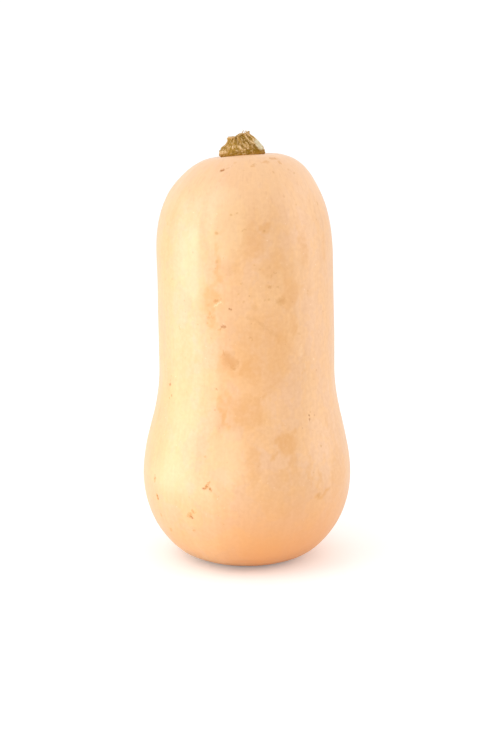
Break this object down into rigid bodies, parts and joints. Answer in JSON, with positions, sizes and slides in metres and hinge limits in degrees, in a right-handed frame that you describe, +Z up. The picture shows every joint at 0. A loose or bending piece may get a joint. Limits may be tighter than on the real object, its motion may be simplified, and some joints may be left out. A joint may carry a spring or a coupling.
{
  "type": "butternut squash",
  "caption": "Whole butternut squash standing on its blossom end, a broad neck over a rounder bulb, with a dry corky stem stub on its crown.",
  "frame": {"origin": "on the resting surface, under the middle of the bulb", "axes": "+Z up the fruit towards the stem, -Y the front, +X to the right seen from the front"},
  "size_m": [0.1114, 0.1092, 0.2261],
  "materials": {
    "rind": "smooth waxy tan rind, satin",
    "stem": "dry corky stalk, matte"
  },
  "bodies": {
    "root": {"squash_fruit": "rind", "stem_stub": "stem"}
  },
  "joints": []
}
